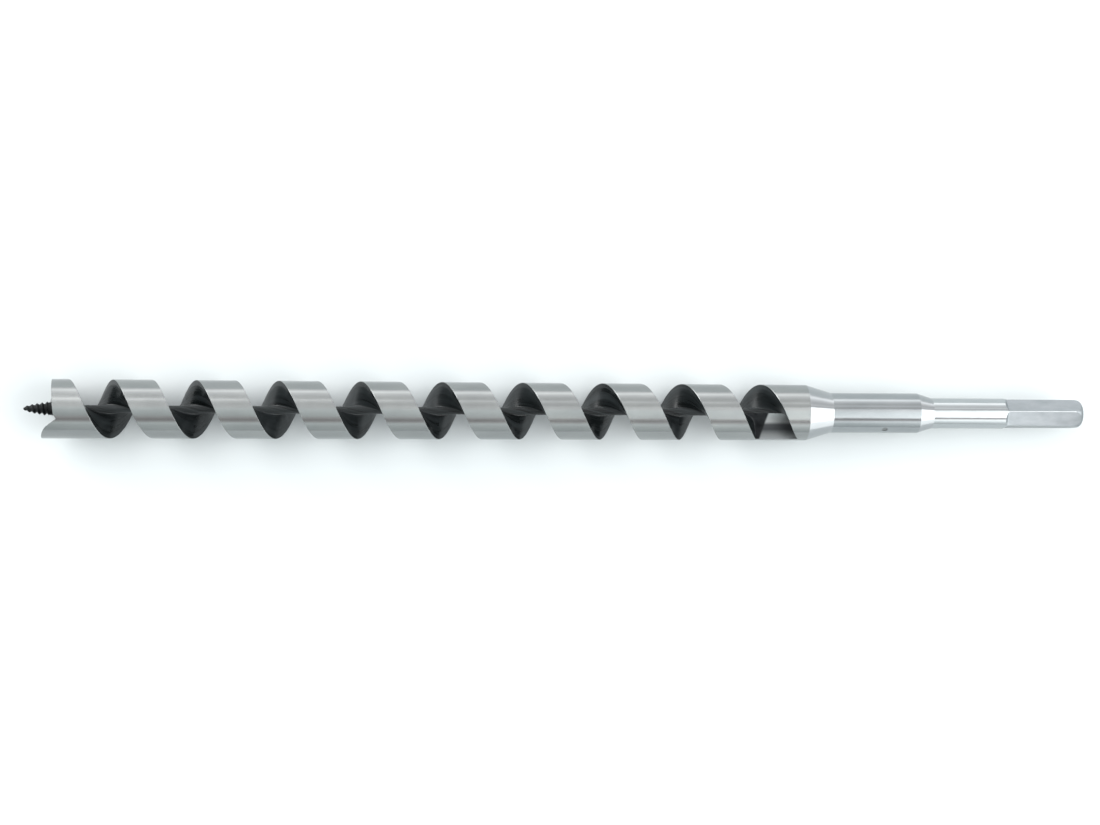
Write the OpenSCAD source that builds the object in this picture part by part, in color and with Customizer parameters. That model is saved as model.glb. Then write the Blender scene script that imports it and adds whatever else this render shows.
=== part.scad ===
// Single-flute wood auger bit with a feed screw, a scoring spur and a pinned hex shank.
// The bit lies along X: the shank's end face is at X = 0 and the feed screw points to -X.
// Angles round the axis are in degrees, from +Y towards +Z. The twist is right-handed.

/* [Twist] */
// Length of the twist, from the head plane to the collar
twist_len = 308.1; // [200:0.1:420]
// Diameter at the head, which sets the hole size
head_d = 24; // [22:0.1:30]
// Diameter at the collar end, a little less for clearance
tail_d = 23.1; // [21.5:0.1:24]
// Axial distance for one turn
pitch = 33.14; // [30:0.01:45]
// Axial width of the ground land
land_w = 15.6; // [13:0.1:20]
// Length left round between the flute's end and the collar
round_end = 4; // [3:0.1:12]
// Diameter of the core left on the axis
core_d = 3; // [2.6:0.1:4]

/* [Cutting head] */
// Angle at which the land's front edge crosses the head plane
head_angle = 98; // [94:1:102]
// Axial drop of the end face behind the lip, per turn
head_relief = 8; // [5:0.5:10]
// How far the spur stands ahead of the head plane
spur_len = 4.1; // [2:0.1:6]
// Wall thickness of the spur
spur_t = 2.5; // [2:0.1:3]
// Diameter of the boss that holds the feed screw
boss_d = 5.4; // [5:0.1:6]

/* [Feed screw] */
// Length of the feed screw ahead of the head plane
screw_len = 11.3; // [9:0.1:14]
// Diameter over the largest thread
screw_d = 5.9; // [5.4:0.1:6]
// Pitch of the feed thread
screw_pitch = 2; // [1.5:0.1:2.5]
// Diameter of the spigot inside the head
spigot_d = 3.4; // [3:0.1:3.6]

/* [Shank] */
// Across the flats of the hexagon
hex_af = 11.11; // [10.9:0.01:11.2]
// Length of the hexagon
hex_len = 32.4; // [26:0.1:45]
// Diameter of the round next to the hexagon
round_d = 12.7; // [12.6:0.1:12.8]
// Length of that round
round_len = 32.2; // [20:0.1:50]
// Length of the step up to the neck
step_len = 6.1; // [4:0.1:10]
// Diameter of the neck
neck_d = 16.6; // [16:0.1:18]
// Length of the neck
neck_len = 36.9; // [30:0.1:60]
// Length of the cone up to the twist
collar_len = 10.6; // [8:0.1:16]
// Diameter of the tang inside the neck
tang_d = 10; // [9:0.1:10.5]
// Diameter of the cross pin
pin_d = 2.4; // [2:0.1:3]

/* [Hidden] */

// Planes along the bit, from the shank's end towards the tip
x_hex = -hex_len;
x_round = x_hex - round_len;
x_step = x_round - step_len;
x_collar = x_step - neck_len;
x_face = x_collar - collar_len;
x_head = x_face - twist_len;
x_spur = x_head - spur_len;
x_tip = x_head - screw_len;

// How far the cutters reach past a face
clear = 1;

// Twist
head_r = head_d / 2;
tail_r = tail_d / 2;
beyond_r = head_r + 2;
ahead_x = x_spur - 2 * clear;
flute_w = pitch - land_w;
min_depth = 0.3;
root_fillet = 0.6;
min_fillet = 0.05;
fillet_share = 0.35;
sweep_step = 10;
end_step = 3;
end_steps = 5;
flute_end = head_angle + 360 * (twist_len - round_end) / pitch;

// The lip stands where the end face meets the flute's front wall
lip_angle = (360 * flute_w - pitch * (360 - head_angle)) / (pitch - head_relief);
lip_lead = 4;
front_angle = lip_angle + 360 - lip_lead / 2;
face_step = 6;
face_inner_r = 0.5;
seat_r = 3.2;

// The flute runs out in a shallow trough, cut by a mill whose centre lies outside the bit
mill_offset = 30;
mill_r = mill_offset - core_d / 2;
mill_span = asin(mill_r / mill_offset);
mill_angle = flute_end - mill_span;

// Spur: its cutting edge rises steeply from the notch, then its back falls to the lip
notch_angle = 110;
notch_run = 8;
notch_depth = 0.8;
notch_step = 0.2;
wall_turn = 0.2;
spur_rise = 18.5;
spur_step = 4;
spur_back_start = 190;
spur_back_end = 258;
spur_bevel = 4;
spur_slope = 0.5;
spur_edge_t = 0.3;

// Feed screw
boss_len = 9.5;
boss_taper = 3.3;
boss_end_r = core_d / 2 - 0.1;
spigot_len = 8;
screw_root_len = 1.2;
screw_root_d = 5.2;
screw_overlap = 0.2;
screw_taper = 0.45;
screw_tip_r = 0.15;
thread_depth = 0.3;
thread_steps = 12;
thread_sides = 20;

// Shank
hex_turn = 81;
hex_runout = 2.6;
end_round = 4.7;
end_flat_r = 4.2;
round_steps = 6;
tang_len = 42;
tang_chamfer = 0.8;
bore_gap = 1;
pin_x = x_collar + 22.2;
pin_angle = 145.6;
pin_recess = 0.25;

// A point at distance r from the axis
function polar(x, r, a) = [x, r * cos(a), r * sin(a)];

// Eases from 0 to 1 as t does
function ease(t) = (1 - cos(180 * max(0, min(1, t)))) / 2;

// The land's front edge, on the tip side
function edge_x(a) = x_head + pitch * (a - head_angle) / 360;

// The end face: it drops away behind the lip, and a little more just before the notch
function face_x(a) =
    let (into_notch = (a - notch_angle) / notch_run + 1)
    x_head + head_relief * a / 360 + notch_depth * max(0, min(1, into_notch));

// Outline of the spur's free edge
function spur_front(a) =
    let (notch_x = face_x(notch_angle) + notch_step)
    let (back_x = edge_x(spur_back_end))
    a < spur_back_start
        ? notch_x + (x_spur - notch_x) * (1 - exp((notch_angle - a) / spur_rise))
        : x_spur + (back_x - x_spur) * ease((a - spur_back_start) / (spur_back_end - spur_back_start));

// Radius of the flute's floor at angle a: the core, then the rise of the end trough
function floor_r(a) =
    let (off = max(0, min(mill_span, a - mill_angle)))
    mill_offset * cos(off) - sqrt(max(0, pow(mill_r, 2) - pow(mill_offset * sin(off), 2)));

// The flute's section in the half plane at angle a, with its floor at radius bottom
function flute_ring(a, bottom) =
    let (in_notch = a < notch_angle)
    let (back = in_notch ? face_x(a) - min_depth : max(face_x(notch_angle) + notch_step, edge_x(a)))
    let (front = a < front_angle ? ahead_x : edge_x(a) - flute_w)
    let (in_spur = a >= notch_angle && a < spur_back_end)
    let (lip = in_spur ? min(back, spur_front(a)) : back)
    let (fillet = max(min_fillet, min(root_fillet, fillet_share * (head_r - bottom))))
    let (inner = bottom + fillet * (1 - cos(45)))
    let (shoulder = max(head_r - spur_t, bottom + fillet + min_depth))
    let (bevel_r = shoulder + spur_slope)
    let (rim = max(head_r - spur_edge_t, bevel_r + min_depth))
    [
        polar(front + fillet, bottom, a),
        polar(front + fillet * (1 - sin(45)), inner, a),
        polar(front, bottom + fillet, a),
        polar(front, beyond_r, a),
        polar(lip, beyond_r, a),
        polar(lip, rim, a),
        polar(min(back, lip + spur_bevel), bevel_r, a),
        polar(back, shoulder, a),
        polar(back, bottom + fillet, a),
        polar(back - fillet * (1 - sin(45)), inner, a),
        polar(back - fillet, bottom, a),
    ];

// The end face's cutter in the half plane at angle a
function face_ring(a) = [
    polar(ahead_x, face_inner_r, a),
    polar(ahead_x, beyond_r, a),
    polar(face_x(a), beyond_r, a),
    polar(face_x(a), face_inner_r, a),
];

// Triangles that join rings of n points and close both ends
function ring_faces(count, n) = concat(
    [for (i = [0:count - 2]) for (j = [0:n - 1]) [i * n + j, (i + 1) * n + (j + 1) % n, (i + 1) * n + j]],
    [for (i = [0:count - 2]) for (j = [0:n - 1]) [i * n + j, i * n + (j + 1) % n, (i + 1) * n + (j + 1) % n]],
    [[for (j = [0:n - 1]) (n - j) % n]],
    [[for (j = [0:n - 1]) (count - 1) * n + j]]
);

module swept(rings) {
    polyhedron(points = [for (r = rings) each r], faces = ring_faces(len(rings), len(rings[0])));
}

// A solid turned about the X axis from an outline of [x, r] points
module turned(outline) {
    rotate([0, 90, 0]) rotate_extrude($fn = 96) polygon([for (p = outline) [p[1], p[0]]]);
}

// A round rod through the axis at angle a
module cross_rod(x, d, len, a) {
    translate([x, 0, 0]) rotate([a - 90, 0, 0]) cylinder(d = d, h = len, center = true, $fn = 48);
}

module flute() {
    rise_end = notch_angle + 10 * spur_step;
    steps_start = mill_angle + mill_span - end_steps * end_step;
    angles = concat(
        [notch_angle - spur_step, notch_angle - wall_turn],
        [for (a = [notch_angle:spur_step:rise_end]) a],
        [for (a = [rise_end + sweep_step:sweep_step:front_angle - sweep_step / 2]) a],
        [front_angle - wall_turn],
        [for (a = [front_angle:sweep_step:steps_start - end_step]) a],
        [for (i = [0:end_steps]) steps_start + i * end_step]
    );
    swept(concat(
        [for (a = angles) flute_ring(a, floor_r(a))],
        [flute_ring(flute_end + wall_turn, head_r + min_depth)]
    ));
}

module end_face() {
    steps = ceil((notch_angle - lip_angle + lip_lead) / face_step);
    swept([for (i = [0:steps]) face_ring(notch_angle - (steps - i) * face_step)]);
}

module lead_screw() {
    thread_len = screw_len - screw_root_len + screw_overlap;
    rings = floor(thread_len / screw_pitch * thread_steps);
    color("#2a2d2f") union() {
        swept([for (i = [0:rings])
            let (x = thread_len * i / rings)
            let (crest = max(screw_tip_r, screw_d / 2 * pow(x / thread_len, screw_taper)))
            [for (j = [0:thread_sides - 1])
                let (turn = x / screw_pitch + j / thread_sides)
                let (height = 1 - abs(2 * (turn - floor(turn)) - 1))
                polar(x_tip + x, crest * (1 - thread_depth * (1 - height)), -360 * j / thread_sides)]]);
        turned([
            [x_head - screw_root_len, 0],
            [x_head - screw_root_len, screw_root_d / 2],
            [x_head, screw_root_d / 2],
            [x_head, spigot_d / 2],
            [x_head + spigot_len, spigot_d / 2],
            [x_head + spigot_len, 0],
        ]);
    }
}

module twist_blank() {
    turned([
        [x_spur, 0],
        [x_spur, head_r],
        [x_head, head_r],
        [x_face, tail_r],
        [x_face, tang_d / 2],
        [x_face + tang_len - tang_chamfer, tang_d / 2],
        [x_face + tang_len, tang_d / 2 - tang_chamfer],
        [x_face + tang_len, 0],
    ]);
}

module twist() {
    color("#a9adae") difference() {
        union() {
            difference() {
                twist_blank();
                flute();
                end_face();
                turned([[ahead_x, 0], [ahead_x, seat_r], [x_head, seat_r], [x_head, 0]]);
            }
            turned([
                [x_head, 0],
                [x_head, boss_d / 2],
                [x_head + boss_len, boss_d / 2],
                [x_head + boss_len + boss_taper, boss_end_r],
                [x_head + boss_len + boss_taper, 0],
            ]);
        }
        turned([
            [x_head - clear, 0],
            [x_head - clear, spigot_d / 2],
            [x_head + spigot_len, spigot_d / 2],
            [x_head + spigot_len, 0],
        ]);
        cross_rod(pin_x, pin_d, neck_d + 2 * clear, pin_angle);
    }
}

module shank_blank() {
    arc = [for (i = [0:round_steps])
        let (t = 90 * i / round_steps)
        [-end_round + end_round * sin(t), end_flat_r + (round_d / 2 - end_flat_r) * cos(t)]];
    turned(concat(
        [
            [x_face + tang_len + bore_gap, 0],
            [x_face + tang_len + bore_gap, tang_d / 2],
            [x_face, tang_d / 2],
            [x_face, tail_r],
            [x_collar, neck_d / 2],
            [x_step, neck_d / 2],
            [x_round, round_d / 2],
        ],
        arc,
        [[0, 0]]
    ));
}

// Cutter for one flat of the hexagon, with the slope that its cutter leaves
module flat_cutter(a) {
    rotate([a, 0, 0]) translate([0, 0, -round_d]) linear_extrude(2 * round_d)
        polygon([
            [x_hex - hex_runout, round_d / 2 + clear],
            [x_hex, hex_af / 2],
            [clear, hex_af / 2],
            [clear, round_d / 2 + clear],
        ]);
}

module drive_shank() {
    color("#c3c8c9") difference() {
        shank_blank();
        for (i = [0:5]) flat_cutter(hex_turn + 30 + 60 * i);
        cross_rod(pin_x, pin_d, neck_d + 2 * clear, pin_angle);
    }
}

module shank_pin() {
    color("#7d8284") intersection() {
        cross_rod(pin_x, pin_d, neck_d + 2 * clear, pin_angle);
        turned([
            [pin_x - pin_d, 0],
            [pin_x - pin_d, neck_d / 2 - pin_recess],
            [pin_x + pin_d, neck_d / 2 - pin_recess],
            [pin_x + pin_d, 0],
        ]);
    }
}

lead_screw();
twist();
drive_shank();
shank_pin();
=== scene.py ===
import math

import bmesh
import bpy
from mathutils import Matrix, Vector


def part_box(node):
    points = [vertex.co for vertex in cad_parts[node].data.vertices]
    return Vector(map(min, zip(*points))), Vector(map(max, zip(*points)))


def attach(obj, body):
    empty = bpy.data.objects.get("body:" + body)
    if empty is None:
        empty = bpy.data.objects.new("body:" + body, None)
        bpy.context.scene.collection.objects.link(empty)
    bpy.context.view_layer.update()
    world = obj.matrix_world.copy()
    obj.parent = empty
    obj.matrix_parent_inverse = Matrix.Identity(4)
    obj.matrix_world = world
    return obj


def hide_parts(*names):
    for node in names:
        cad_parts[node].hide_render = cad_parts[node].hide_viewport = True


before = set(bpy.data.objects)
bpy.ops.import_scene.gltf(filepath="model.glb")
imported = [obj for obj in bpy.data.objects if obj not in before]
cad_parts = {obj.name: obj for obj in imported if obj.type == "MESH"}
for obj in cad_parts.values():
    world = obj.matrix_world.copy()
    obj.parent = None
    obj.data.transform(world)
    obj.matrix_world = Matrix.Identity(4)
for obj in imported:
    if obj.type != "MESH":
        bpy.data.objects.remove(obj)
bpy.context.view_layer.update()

MM = 0.001

# Planes along the bit, from the CAD nodes. X runs from the feed screw to the shank's end.
x_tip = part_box("lead_screw")[0].x
x_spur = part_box("twist")[0].x
x_face, x_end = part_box("drive_shank")[0].x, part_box("drive_shank")[1].x
x_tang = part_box("twist")[1].x

# Twist, as in the CAD model
SPUR_LEN = 4.1 * MM
HEAD_R = 12.0 * MM
TAIL_R = 11.55 * MM
PITCH = 33.14 * MM
LAND_W = 15.6 * MM
FLUTE_W = PITCH - LAND_W
CORE_R = 1.5 * MM
ROUND_END = 4.0 * MM
HEAD_ANGLE = 98
HEAD_RELIEF = 8 * MM
TANG_R = 5.0 * MM
MILL_OFFSET = 30 * MM
BEYOND_R = HEAD_R + 3 * MM
TANG_CHAMFER = 0.8 * MM

# Cutting head
SPUR_T = 2.5 * MM
SPUR_BEVEL = 4.0 * MM
SPUR_RISE = 18.5
SPUR_BACK = (190, 258)
BEVEL_RISE = 0.5 * MM
NOTCH_ANGLE = 110
NOTCH_RUN = 8
NOTCH_DEPTH = 0.8 * MM
NOTCH_STEP = 0.2 * MM
NOTCH_GAP = 0.3 * MM
SEAT_R = 3.2 * MM
BOSS_R = 2.7 * MM
BOSS_LEN = 9.5 * MM
BOSS_TAPER = 3.3 * MM
SPIGOT_R = 1.7 * MM
SPIGOT_LEN = 8 * MM

# Edges and corners
EDGE_BREAK = 0.12 * MM
ROOT_FILLET = 0.6 * MM
FILLET_SHARE = 0.35
LEAST_STEP = 0.05 * MM
CORNER_R = 0.5 * MM

# Feed screw
SCREW_R = 2.95 * MM
SCREW_TIP_R = 0.1 * MM
SCREW_TAPER = 0.45
SCREW_PITCH = 2.0 * MM
SCREW_ROOT_R = 2.6 * MM
SCREW_ROOT_LEN = 1.2 * MM
THREAD_DEPTH = 0.3
THREAD_PHASE = 0.2
THREAD_ROOT = 0.3
THREAD_POWER = 0.8
RINGS_PER_TURN = 40

# Shank
HEX_AF = 11.11 * MM
HEX_LEN = 32.4 * MM
HEX_TURN = 81
HEX_RUNOUT = 2.6 * MM
HEX_RUNOUT_CURVE = 1.4
ROUND_R = 6.35 * MM
ROUND_LEN = 32.2 * MM
STEP_LEN = 6.1 * MM
NECK_R = 8.3 * MM
NECK_LEN = 36.9 * MM
END_ROUND = 4.7 * MM
END_FLAT_R = 4.2 * MM
PIN_R = 1.2 * MM
PIN_FROM_COLLAR = 22.2 * MM
PIN_ANGLE = 145.6

# Camera, in metres and degrees
CAMERA_DISTANCE = 0.7892
CAMERA_LENS = 62.67
CAMERA_TILT = 5.3
CAMERA_ROLL = 0.3
AIM_FROM_END = 0.2250
AIM_Y = -0.0005

# Room, with the floor's half width in metres
ROOM_STRENGTH = 1.33
FLOOR_SIZE = 3.0

x_head = x_spur + SPUR_LEN
x_hex = x_end - HEX_LEN
x_round = x_hex - ROUND_LEN
x_step = x_round - STEP_LEN
x_collar = x_step - NECK_LEN
x_pin = x_collar + PIN_FROM_COLLAR
x_flute_end = x_face - ROUND_END
ahead_x = x_spur - 2 * MM
flute_end = HEAD_ANGLE + 360 * (x_flute_end - x_head) / PITCH
lip_angle = (360 * FLUTE_W - PITCH * (360 - HEAD_ANGLE)) / (PITCH - HEAD_RELIEF)
front_angle = lip_angle + 360 - 2
mill_r = MILL_OFFSET - CORE_R
mill_span = math.degrees(math.asin(mill_r / MILL_OFFSET))
mill_angle = flute_end - mill_span


# ---------------------------------------------------------------- mesh tools

def polar(x, r, degrees):
    a = math.radians(degrees)
    return (x, r * math.cos(a), r * math.sin(a))


def mesh_object(name, points, faces):
    mesh = bpy.data.meshes.new(name)
    mesh.from_pydata(points, [], faces)
    mesh.update()
    piece = bpy.data.objects.new(name, mesh)
    bpy.context.scene.collection.objects.link(piece)
    return piece


def loft(name, rings):
    """A closed solid through rings that all have the same number of points."""
    n = len(rings[0])
    points = [p for ring in rings for p in ring]
    faces = []
    for i in range(len(rings) - 1):
        for j in range(n):
            k = (j + 1) % n
            faces.append((i * n + j, i * n + k, (i + 1) * n + k, (i + 1) * n + j))
    faces.append(tuple(reversed(range(n))))
    faces.append(tuple((len(rings) - 1) * n + j for j in range(n)))
    piece = mesh_object(name, points, faces)
    bm = bmesh.new()
    bm.from_mesh(piece.data)
    bmesh.ops.recalc_face_normals(bm, faces=bm.faces)
    bm.to_mesh(piece.data)
    bm.free()
    return piece


def lathe(name, outline, sides=360):
    """A solid turned about X. outline is (x, r) from one end to the other, with r above 0."""
    step = 360 / sides
    return loft(name, [[polar(x, r, -j * step) for j in range(sides)] for x, r in outline])


def rounded(outline, radius, steps=5):
    """The outline with a curve in place of each inner corner."""
    out = [outline[0]]
    for before, here, after in zip(outline, outline[1:], outline[2:]):
        a, b, c = Vector(before), Vector(here), Vector(after)
        u, v = (a - b).normalized(), (c - b).normalized()
        half = u.angle(v) / 2
        reach = min(radius / math.tan(half), (a - b).length * 0.45, (c - b).length * 0.45)
        start, end = b + u * reach, b + v * reach
        for i in range(steps + 1):
            t = i / steps
            out.append(tuple(start * (1 - t) ** 2 + b * (2 * t * (1 - t)) + end * t ** 2))
    out.append(outline[-1])
    return out


def combine(target, tool, operation="DIFFERENCE"):
    """Cuts or joins two closed solids, then removes the tool."""
    cut = target.modifiers.new("cut", "BOOLEAN")
    cut.solver = "MANIFOLD"
    cut.operation = operation
    cut.object = tool
    bpy.context.view_layer.update()
    done = target.evaluated_get(bpy.context.evaluated_depsgraph_get())
    mesh = bpy.data.meshes.new_from_object(done)
    target.modifiers.clear()
    old, target.data = target.data, mesh
    mesh.name = target.name
    bpy.data.meshes.remove(old)
    bpy.data.objects.remove(tool)
    return target


def drop_doubled(bm):
    """Removes pairs of faces back to back on the same points, which welding can leave."""
    same = {}
    for face in bm.faces:
        same.setdefault(frozenset(face.verts), []).append(face)
    doubled = [face for faces in same.values() if len(faces) > 1 for face in faces]
    bmesh.ops.delete(bm, geom=doubled, context="FACES")


def finish_mesh(piece, sharp_angle=32):
    """Welds stray points, splits faces of many sides and shades smooth, with sharp edges kept."""
    bm = bmesh.new()
    bm.from_mesh(piece.data)
    bmesh.ops.remove_doubles(bm, verts=bm.verts, dist=1e-6)
    bmesh.ops.dissolve_degenerate(bm, dist=1e-6, edges=bm.edges)
    many_sided = [face for face in bm.faces if len(face.verts) > 4]
    bmesh.ops.triangulate(bm, faces=many_sided)
    drop_doubled(bm)
    bm.to_mesh(piece.data)
    bm.free()
    for face in piece.data.polygons:
        face.use_smooth = True
    piece.data.set_sharp_from_angle(angle=math.radians(sharp_angle))


# ---------------------------------------------------------------- twist

def ease(t):
    return (1 - math.cos(math.pi * max(0, min(1, t)))) / 2


def land_r(x):
    """Radius of the ground land: it tapers a little towards the shank."""
    t = (x - x_head) / (x_face - x_head)
    return HEAD_R + (TAIL_R - HEAD_R) * max(0, min(1, t))


def edge_x(a):
    """The land's front edge, on the tip side, at angle a."""
    return x_head + PITCH * (a - HEAD_ANGLE) / 360


def face_x(a):
    """The end face: it drops away behind the lip, and a little more just before the notch."""
    into_notch = (a - NOTCH_ANGLE) / NOTCH_RUN + 1
    return x_head + HEAD_RELIEF * a / 360 + NOTCH_DEPTH * max(0, min(1, into_notch))


def spur_front(a):
    """The spur's free edge: a steep rise from the notch, then a long fall to the lip."""
    notch, back = face_x(NOTCH_ANGLE) + NOTCH_STEP, edge_x(SPUR_BACK[1])
    if a < SPUR_BACK[0]:
        return notch + (x_spur - notch) * (1 - math.exp((NOTCH_ANGLE - a) / SPUR_RISE))
    return x_spur + (back - x_spur) * ease((a - SPUR_BACK[0]) / (SPUR_BACK[1] - SPUR_BACK[0]))


def floor_r(a):
    """Radius of the flute's floor: the core, then the rise of the trough where the flute runs out."""
    off = math.radians(max(0, min(mill_span, a - mill_angle)))
    reach = mill_r ** 2 - (MILL_OFFSET * math.sin(off)) ** 2
    return MILL_OFFSET * math.cos(off) - math.sqrt(max(0, reach))


def fillet_arc(corner, size, side):
    """Points (x, r) of a root fillet. side is 1 where the wall is on the tip side, -1 opposite."""
    arc = []
    for i in range(6):
        t = math.radians(90 * i / 5)
        x = corner[0] + side * size * (1 - math.sin(t))
        r = corner[1] + size * (1 - math.cos(t))
        arc.append((x, r))
    return arc


def flute_ring(a, bottom):
    """The flute's section in the half plane at angle a, with root fillets and broken rims."""
    in_notch = a < NOTCH_ANGLE
    wall = max(face_x(NOTCH_ANGLE) + NOTCH_STEP, edge_x(a))
    back = face_x(a) - NOTCH_GAP if in_notch else wall
    front = ahead_x if a < front_angle else edge_x(a) - FLUTE_W
    in_spur = NOTCH_ANGLE <= a < SPUR_BACK[1]
    lip = min(back, spur_front(a)) if in_spur else back
    fillet = max(LEAST_STEP, min(ROOT_FILLET, FILLET_SHARE * (HEAD_R - bottom)))
    shoulder = max(HEAD_R - SPUR_T, bottom + fillet + LEAST_STEP)
    bevel_r = shoulder + BEVEL_RISE
    front_rim = max(land_r(front) - EDGE_BREAK, bottom + fillet + LEAST_STEP)
    back_rim = max(land_r(lip) - EDGE_BREAK, bevel_r + LEAST_STEP)
    section = fillet_arc((front, bottom), fillet, 1)
    section += [
        (front, front_rim),
        (front - 2 * EDGE_BREAK, front_rim + 2 * EDGE_BREAK),
        (front - 2 * EDGE_BREAK, BEYOND_R),
        (lip + 2 * EDGE_BREAK, BEYOND_R),
        (lip + 2 * EDGE_BREAK, back_rim + 2 * EDGE_BREAK),
        (lip, back_rim),
        (min(back, lip + SPUR_BEVEL), bevel_r),
        (back, shoulder),
    ]
    section += reversed(fillet_arc((back, bottom), fillet, -1))
    return [polar(x, r, a) for x, r in section]


def spread(start, end, step):
    """Angles from start to end, no more than step apart."""
    count = math.ceil((end - start) / step)
    return [start + (end - start) * i / count for i in range(count + 1)]


def flute_tool():
    turn = 0.2
    angles = [NOTCH_ANGLE - 4, NOTCH_ANGLE - turn]
    angles += spread(NOTCH_ANGLE, NOTCH_ANGLE + 40, 1.5)
    angles += spread(NOTCH_ANGLE + 42, front_angle - turn, 3)
    angles += spread(front_angle, mill_angle, 3)
    angles += spread(mill_angle + 2, flute_end, 2)
    rings = [flute_ring(a, floor_r(a)) for a in angles]
    rings.append(flute_ring(flute_end + turn, TAIL_R + 0.5 * MM))
    return loft("flute_tool", rings)


def face_tool():
    """Cutter for the end face, with its outer edge broken."""
    rings = []
    for a in spread(lip_angle - 4, NOTCH_ANGLE, 2):
        x, inner = face_x(a), 0.5 * MM
        section = [
            (ahead_x, inner),
            (ahead_x, BEYOND_R),
            (x + 2 * EDGE_BREAK, BEYOND_R),
            (x + 2 * EDGE_BREAK, HEAD_R + EDGE_BREAK),
            (x, HEAD_R - EDGE_BREAK),
            (x, inner),
        ]
        rings.append([polar(u, r, a) for u, r in section])
    return loft("face_tool", rings)


def rod(name, x, r, length, angle):
    """A round rod across the axis."""
    sides = 64
    along = Vector(polar(0, 1, angle))
    side = Vector((1, 0, 0))
    third = along.cross(side)
    rings = []
    for end in (-0.5, 0.5):
        middle = Vector((x, 0, 0)) + along * length * end
        turns = [2 * math.pi * j / sides for j in range(sides)]
        spokes = [side * math.cos(t) + third * math.sin(t) for t in turns]
        rings.append([tuple(middle + spoke * r) for spoke in spokes])
    return loft(name, rings)


def make_twist():
    tiny = 0.01 * MM
    piece = lathe("twist_body", [
        (x_spur, HEAD_R),
        (x_head, HEAD_R),
        (x_face, TAIL_R),
        (x_face + tiny, TANG_R),
        (x_tang - TANG_CHAMFER, TANG_R),
        (x_tang, TANG_R - TANG_CHAMFER),
    ])
    combine(piece, flute_tool())
    combine(piece, face_tool())
    combine(piece, lathe("seat_tool", [(ahead_x, SEAT_R), (x_head, SEAT_R)], 120))
    boss = lathe("boss", [
        (x_head, BOSS_R),
        (x_head + BOSS_LEN, BOSS_R),
        (x_head + BOSS_LEN + BOSS_TAPER, CORE_R - 0.1 * MM),
    ], 96)
    combine(piece, boss, "UNION")
    bore = [(x_head - 1 * MM, SPIGOT_R), (x_head + SPIGOT_LEN, SPIGOT_R)]
    combine(piece, lathe("spigot_tool", bore, 96))
    combine(piece, rod("pin_tool", x_pin, PIN_R, 4 * NECK_R, PIN_ANGLE))
    finish_mesh(piece)
    return piece


# ---------------------------------------------------------------- feed screw

def thread_r(x, turn):
    """Radius of the feed thread, x from the tip, with a flat root. turn counts the thread's turns."""
    length = x_head - SCREW_ROOT_LEN - x_tip
    crest = max(SCREW_TIP_R, SCREW_R * (x / length) ** SCREW_TAPER)
    wave = 1 - abs(2 * (turn - math.floor(turn)) - 1)
    height = max(0, (1 + THREAD_ROOT) * wave - THREAD_ROOT) ** THREAD_POWER
    return crest * (1 - THREAD_DEPTH * (1 - height))


def make_screw():
    sides = 96
    length = x_head - SCREW_ROOT_LEN - x_tip
    count = round(length / SCREW_PITCH * RINGS_PER_TURN)
    rings = []
    for i in range(count + 1):
        x = length * i / count
        turns = [x / SCREW_PITCH - THREAD_PHASE - j / sides for j in range(sides)]
        radii = [thread_r(x, t) for t in turns]
        rings.append([polar(x_tip + x, r, 360 * j / sides) for j, r in enumerate(radii)])
    ends = [
        (x_head - SCREW_ROOT_LEN + LEAST_STEP, SCREW_ROOT_R),
        (x_head, SCREW_ROOT_R),
        (x_head + 0.001 * MM, SPIGOT_R),
        (x_head + SPIGOT_LEN, SPIGOT_R),
    ]
    rings += [[polar(x, r, 360 * j / sides) for j in range(sides)] for x, r in ends]
    piece = loft("feed_screw", rings)
    finish_mesh(piece, 40)
    return piece


# ---------------------------------------------------------------- shank

def make_shank():
    arc = []
    for i in range(9):
        t = math.radians(90 * i / 8)
        x = x_end - END_ROUND * (1 - math.sin(t))
        r = END_FLAT_R + (ROUND_R - END_FLAT_R) * math.cos(t)
        arc.append((x, r))
    outline = rounded([
        (x_face, TAIL_R),
        (x_collar, NECK_R),
        (x_step, NECK_R),
        (x_round, ROUND_R),
        arc[0],
    ], CORNER_R)
    piece = lathe("shank", outline + arc[1:])
    for i in range(6):
        combine(piece, flat_tool(HEX_TURN + 30 + 60 * i))
    combine(piece, lathe("bore_tool", [(x_face - 1 * MM, TANG_R), (x_tang + 1 * MM, TANG_R)], 180))
    combine(piece, rod("pin_tool", x_pin, PIN_R, 4 * NECK_R, PIN_ANGLE))
    finish_mesh(piece, 20)
    return piece


def flat_tool(angle):
    """Cutter for one flat of the hexagon, with the rise that its cutter leaves."""
    flat = HEX_AF / 2
    top = ROUND_R + 1 * MM
    side = [(x_end + 1 * MM, flat)]
    for i in range(9):
        t = i / 8
        side.append((x_hex - HEX_RUNOUT * t, flat + (top - flat) * t ** HEX_RUNOUT_CURVE))
    side.append((x_end + 1 * MM, top))
    turn = Matrix.Rotation(math.radians(angle), 4, "X")
    rings = []
    for z in (-2 * ROUND_R, 2 * ROUND_R):
        rings.append([tuple(turn @ Vector((x, r, z))) for x, r in side])
    return loft("flat_tool", rings)


# ---------------------------------------------------------------- materials

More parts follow.
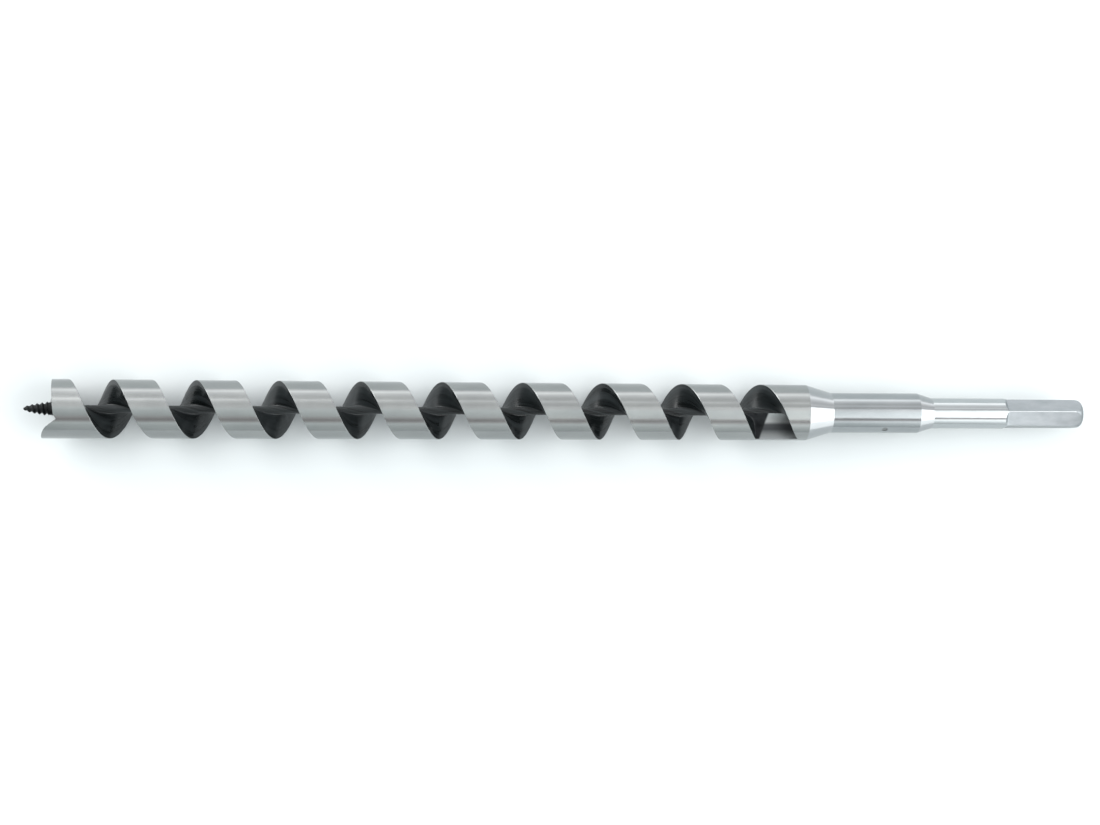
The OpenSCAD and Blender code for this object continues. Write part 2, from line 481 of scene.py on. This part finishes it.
class Shader:
    """Builds one material's nodes."""

    def __init__(self, name):
        self.material = bpy.data.materials.new(name)
        self.material.use_nodes = True
        self.tree = self.material.node_tree
        self.surface = self.tree.nodes["Principled BSDF"]
        self.place = self.node("ShaderNodeTexCoord").outputs["Object"]

    def node(self, kind, **settings):
        made = self.tree.nodes.new(kind)
        for key, value in settings.items():
            setattr(made, key, value)
        return made

    def link(self, source, target):
        self.tree.links.new(source, target)

    def calculate(self, operation, a, b):
        """One calculation on two sockets, or on a socket and a number."""
        made = self.node("ShaderNodeMath", operation=operation)
        self.link(a, made.inputs[0])
        if isinstance(b, float):
            made.inputs[1].default_value = b
        else:
            self.link(b, made.inputs[1])
        return made.outputs["Value"]

    def helical(self):
        """Place on the flute: across it, out from the axis, and along the bit."""
        split = self.node("ShaderNodeSeparateXYZ")
        self.link(self.place, split.inputs["Vector"])
        x, y, z = (split.outputs[axis] for axis in "XYZ")
        turn = self.calculate("MULTIPLY", self.calculate("ARCTAN2", z, y), PITCH / (2 * math.pi))
        square = self.calculate("ADD", self.calculate("MULTIPLY", y, y), self.calculate("MULTIPLY", z, z))
        joined = self.node("ShaderNodeCombineXYZ")
        self.link(self.calculate("SUBTRACT", x, turn), joined.inputs["X"])
        self.link(self.calculate("POWER", square, 0.5), joined.inputs["Y"])
        self.link(x, joined.inputs["Z"])
        return joined.outputs["Vector"]

    def noise(self, scale, detail=4, roughness=0.55, place=None):
        made = self.node("ShaderNodeTexNoise")
        made.inputs["Scale"].default_value = 1
        made.inputs["Detail"].default_value = detail
        made.inputs["Roughness"].default_value = roughness
        mapping = self.node("ShaderNodeMapping")
        mapping.inputs["Scale"].default_value = scale
        self.link(place or self.place, mapping.inputs["Vector"])
        self.link(mapping.outputs["Vector"], made.inputs["Vector"])
        return made.outputs["Fac"]

    def ramp(self, source, stops):
        made = self.node("ShaderNodeValToRGB")
        elements = made.color_ramp.elements
        while len(elements) < len(stops):
            elements.new(0.5)
        for element, (position, colour) in zip(elements, stops):
            element.position = position
            element.color = (*colour, 1)
        self.link(source, made.inputs["Fac"])
        return made.outputs["Color"]

    def remap(self, source, low, high, from_low=0.3, from_high=0.7):
        made = self.node("ShaderNodeMapRange")
        made.inputs["From Min"].default_value = from_low
        made.inputs["From Max"].default_value = from_high
        made.inputs["To Min"].default_value = low
        made.inputs["To Max"].default_value = high
        self.link(source, made.inputs["Value"])
        return made.outputs["Result"]

    def mix(self, factor, a, b):
        made = self.node("ShaderNodeMix", data_type="RGBA", blend_type="MIX")
        self.link(factor, made.inputs["Factor"])
        self.link(a, made.inputs["A"])
        self.link(b, made.inputs["B"])
        return made.outputs["Result"]

    def bump(self, height, strength, distance, below=None):
        made = self.node("ShaderNodeBump")
        made.inputs["Strength"].default_value = strength
        made.inputs["Distance"].default_value = distance
        self.link(height, made.inputs["Height"])
        if below:
            self.link(below, made.inputs["Normal"])
        return made.outputs["Normal"]

    def metal(self, anisotropic=0.0):
        self.surface.inputs["Metallic"].default_value = 1
        self.surface.inputs["Anisotropic"].default_value = anisotropic
        if anisotropic:
            self.surface.inputs["Anisotropic Rotation"].default_value = 0.25
            around = self.node("ShaderNodeTangent", direction_type="RADIAL", axis="X")
            self.link(around.outputs["Tangent"], self.surface.inputs["Tangent"])

    def set(self, socket, source):
        self.link(source, self.surface.inputs[socket])


def steel(name, dark, light, rough, groove, groove_scale, anisotropic=0.9):
    """Machined steel with fine marks that run round the bit."""
    m = Shader(name)
    m.metal(anisotropic)
    marks = m.noise((groove_scale, 25, 25), detail=1)
    fine = m.noise((groove_scale * 4, 120, 120), detail=2)
    cloud = m.noise((45, 160, 160), detail=3)
    m.set("Base Color", m.ramp(cloud, [(0.3, dark), (0.7, light)]))
    m.set("Roughness", m.remap(marks, rough * 0.95, rough * 1.05))
    below = m.bump(marks, 0.5, groove)
    m.set("Normal", m.bump(fine, 0.4, groove * 0.4, below))
    return m.material


def milled_steel():
    """The hexagon's flats: bright, with faint feed marks across them."""
    m = Shader("milled_flats")
    m.metal(0.3)
    feed = m.noise((900, 60, 60), detail=2)
    cloud = m.noise((120, 260, 260), detail=4)
    m.set("Base Color", m.ramp(cloud, [(0.3, (0.215, 0.235, 0.245)), (0.7, (0.29, 0.31, 0.325))]))
    m.set("Roughness", m.remap(cloud, 0.3, 0.42))
    m.set("Normal", m.bump(feed, 0.35, 0.008 * MM))
    return m.material


def black_finish(name, dark, light, rough_low, rough_high, gloss):
    """Steel under a black heat-treatment finish, rough from the forge and thin in patches."""
    m = Shader(name)
    along_flute = m.helical()
    patches = m.noise((260, 260, 20), detail=6, roughness=0.65, place=along_flute)
    forged = m.noise((700, 900, 40), detail=4, roughness=0.6, place=along_flute)
    grain = m.noise((1500, 1500, 1500), detail=4)
    m.surface.inputs["Metallic"].default_value = 0.2
    m.surface.inputs["Specular IOR Level"].default_value = gloss
    m.set("Base Color", m.ramp(patches, [(0.35, dark), (0.7, light)]))
    m.set("Roughness", m.remap(patches, rough_low, rough_high))
    below = m.bump(forged, 0.6, 0.06 * MM)
    m.set("Normal", m.bump(grain, 0.3, 0.02 * MM, below))
    return m.material


def runout_finish():
    """Floor of the flute's run-out: grey steel where the black finish is cut through, with painted
    reflection bands: light near the core, dark in the middle, lighter again out to the rim.
    """
    m = Shader("runout_steel")
    m.metal(0.5)
    split = m.node("ShaderNodeSeparateXYZ")
    m.link(m.place, split.inputs["Vector"])
    x, y = split.outputs["X"], split.outputs["Y"]
    across = m.remap(y, 1, 0, -12 * MM, 0)
    slanted = m.calculate("ADD", x, m.calculate("MULTIPLY", y, -0.41))
    along = m.remap(slanted, 0, 1, x_flute_end - 11.9 * MM, x_flute_end - 11.1 * MM)
    # Painted reflection: light and dark bands across the run-out by distance below the axis, standing in
    # for the room and the black walls mirrored in it.
    painted_reflection_bands = m.ramp(across, [
        (0.20, (0.3, 0.315, 0.315)), (0.32, (0.33, 0.345, 0.345)), (0.42, (0.075, 0.079, 0.083)),
        (0.58, (0.06, 0.064, 0.068)), (0.76, (0.195, 0.21, 0.21)), (1.0, (0.315, 0.33, 0.338)),
    ])
    black = m.ramp(m.noise((220, 300, 300)), [(0.3, (0.01, 0.011, 0.012)), (0.7, (0.03, 0.032, 0.034))])
    m.set("Base Color", m.mix(along, black, painted_reflection_bands))
    m.set("Roughness", m.remap(m.noise((300, 900, 900)), 0.3, 0.42))
    m.set("Normal", m.bump(m.noise((100, 2500, 2500)), 0.4, 0.004 * MM))
    return m.material


def give(piece, materials, choose):
    """Sets the piece's materials, with choose(face) giving each face's index."""
    piece.data.materials.clear()
    for material in materials:
        piece.data.materials.append(material)
    for face in piece.data.polygons:
        face.material_index = choose(face)


def radius(point):
    return math.hypot(point.y, point.z)


def twist_face(face):
    """0 for ground lands, end face and spur, 1 for the black flute, 2 for the floor of its run-out."""
    c, n = face.center, face.normal
    outward = (n.y * c.y + n.z * c.z) / max(radius(c), 1e-9)
    rim_depth, head_depth, trough_len = 0.25 * MM, 3.5 * MM, 26 * MM
    above_core = radius(c) > CORE_R + LEAST_STEP
    on_rim = radius(c) > land_r(c.x) - rim_depth and outward > 0.3
    on_head = n.x < -0.8 and c.x < x_head + head_depth
    in_trough = c.x > x_face - trough_len and abs(n.x) < 0.06 and above_core
    if on_rim or on_head:
        return 0
    return 2 if in_trough else 1


def shank_face(face):
    """0 neck, 1 polished cone and step, 2 bright round, 3 flats of the hexagon."""
    c, n = face.center, face.normal
    across = (n.y * c.y + n.z * c.z) / max(radius(c), 1e-9)
    if c.x > x_hex - HEX_RUNOUT and radius(c) < ROUND_R * 0.995 and across > 0.5:
        return 3
    if c.x < x_collar or x_step < c.x < x_round:
        return 1
    return 0 if c.x < x_step else 2


# ---------------------------------------------------------------- stage

def make_camera():
    """Looks down on the lying bit, tilted a little towards the shank's end."""
    tilt = math.radians(CAMERA_TILT)
    roll = math.radians(CAMERA_ROLL)
    aim = Vector((x_end - AIM_FROM_END, AIM_Y, 0))
    right = Vector((math.cos(tilt), 0, math.sin(tilt)))
    up = Vector((0, 1, 0))
    back = Vector((-math.sin(tilt), 0, math.cos(tilt)))
    right, up = (
        right * math.cos(roll) + up * math.sin(roll),
        up * math.cos(roll) - right * math.sin(roll),
    )
    data = bpy.data.cameras.new("camera")
    data.sensor_width = 36
    data.lens = CAMERA_LENS
    data.clip_start = 0.01
    camera = bpy.data.objects.new("camera", data)
    bpy.context.scene.collection.objects.link(camera)
    turn = Matrix((right, up, back)).transposed().to_4x4()
    camera.matrix_world = Matrix.Translation(aim + back * CAMERA_DISTANCE) @ turn
    bpy.context.scene.camera = camera


def make_floor():
    m = Shader("table_top")
    cloud = m.noise((6, 6, 6), detail=3)
    m.set("Base Color", m.ramp(cloud, [(0.3, (0.59, 0.625, 0.635)), (0.7, (0.61, 0.64, 0.645))]))
    m.surface.inputs["Roughness"].default_value = 0.6
    size, z = FLOOR_SIZE, -HEAD_R
    corners = [(-size, -size, z), (size, -size, z), (size, size, z), (-size, size, z)]
    floor = mesh_object("floor", corners, [(0, 1, 2, 3)])
    floor.data.materials.append(m.material)


def softbox(name, target, direction, distance, size, power):
    """A soft light that faces the target from the given direction. size is its two sides."""
    data = bpy.data.lights.new(name, "AREA")
    data.shape = "RECTANGLE"
    data.size, data.size_y = size
    data.energy = power
    light = bpy.data.objects.new(name, data)
    bpy.context.scene.collection.objects.link(light)
    aim = Vector(direction).normalized()
    light.location = target + aim * distance
    light.rotation_euler = aim.to_track_quat("Z", "Y").to_euler()
    light.visible_camera = False


def make_room():
    """Walls and ceiling of a pale room: brightness by the angle from overhead towards +Y."""
    cool, plain, warm = 0.93, 0.99, 1.04
    walls = [
        (-90, 0.70, cool), (-64, 0.80, cool), (-56, 0.96, cool), (-46, 0.42, warm), (-40, 0.32, warm),
        (-34, 0.50, warm), (-24, 0.62, cool), (-12, 0.80, cool), (3, 0.90, cool), (10, 0.82, plain),
        (22, 0.72, plain), (34, 0.80, plain), (40, 1.10, plain), (46, 0.80, plain), (54, 0.84, plain),
        (62, 1.04, plain), (70, 1.30, plain), (79, 2.00, plain), (84, 1.60, plain), (90, 1.10, plain),
    ]
    world = bpy.data.worlds.new("room")
    bpy.context.scene.world = world
    world.use_nodes = True
    nodes, links = world.node_tree.nodes, world.node_tree.links
    place = nodes.new("ShaderNodeTexCoord")
    split = nodes.new("ShaderNodeSeparateXYZ")
    angle = nodes.new("ShaderNodeMath")
    angle.operation = "ARCTAN2"
    spread_out = nodes.new("ShaderNodeMapRange")
    spread_out.inputs["From Min"].default_value = math.radians(-90)
    spread_out.inputs["From Max"].default_value = math.radians(90)
    ramp = nodes.new("ShaderNodeValToRGB")
    elements = ramp.color_ramp.elements
    while len(elements) < len(walls):
        elements.new(0.5)
    for element, (degrees, level, red) in zip(elements, walls):
        element.position = (degrees + 90) / 180
        element.color = (level * red, level, level * 1.01, 1)
    links.new(place.outputs["Generated"], split.inputs["Vector"])
    links.new(split.outputs["Y"], angle.inputs[0])
    links.new(split.outputs["Z"], angle.inputs[1])
    links.new(angle.outputs["Value"], spread_out.inputs["Value"])
    links.new(spread_out.outputs["Result"], ramp.inputs["Fac"])
    links.new(ramp.outputs["Color"], nodes["Background"].inputs["Color"])
    nodes["Background"].inputs["Strength"].default_value = ROOM_STRENGTH


def make_light():
    shank_middle = Vector((x_collar, 0, 0))
    softbox("over_shank", shank_middle, (0.69, -0.12, 0.72), 1.25, (1.2, 1.2), 12)
    softbox("low_fill", shank_middle, (0.66, -0.64, 0.38), 1.3, (1.0, 1.0), 5)
    softbox("left_key", Vector((x_head, 0, 0)) / 2, (-0.80, 0.40, 0.44), 2.2, (1.8, 1.8), 50)
    bpy.context.scene.view_settings.view_transform = "Standard"


# ---------------------------------------------------------------- assembly

make_camera()

ground = steel("ground_land", (0.266, 0.277, 0.277), (0.311, 0.323, 0.319), 0.25, 0.001 * MM, 900, 0.95)
polished = steel("polished_cone", (0.315, 0.33, 0.338), (0.36, 0.375, 0.383), 0.18, 0.001 * MM, 1200, 0.8)
neck_steel = steel("neck_steel", (0.277, 0.296, 0.304), (0.323, 0.341, 0.349), 0.20, 0.001 * MM, 1300, 0.85)
bright = steel("bright_round", (0.375, 0.398, 0.405), (0.42, 0.443, 0.45), 0.18, 0.001 * MM, 1300, 0.8)
flats = milled_steel()
flute_black = black_finish(
    "flute_black", (0.002, 0.003, 0.003), (0.026, 0.031, 0.033), 0.2, 0.4, 0.35)
runout = runout_finish()
screw_black = black_finish(
    "screw_black", (0.003, 0.004, 0.004), (0.012, 0.013, 0.014), 0.3, 0.5, 0.2)
pin_steel = steel("pin_steel", (0.165, 0.173, 0.173), (0.24, 0.247, 0.247), 0.4, 0.01 * MM, 2500, 0.0)

twist = make_twist()
give(twist, [ground, flute_black, runout], twist_face)
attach(twist, "root")
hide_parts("twist")

screw = make_screw()
give(screw, [screw_black], lambda face: 0)
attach(screw, "root")
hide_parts("lead_screw")

shank = make_shank()
give(shank, [neck_steel, polished, bright, flats], shank_face)
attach(shank, "root")
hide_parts("drive_shank")

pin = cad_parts["shank_pin"]
pin.data.materials.clear()
pin.data.materials.append(pin_steel)

make_floor()
make_room()
make_light()
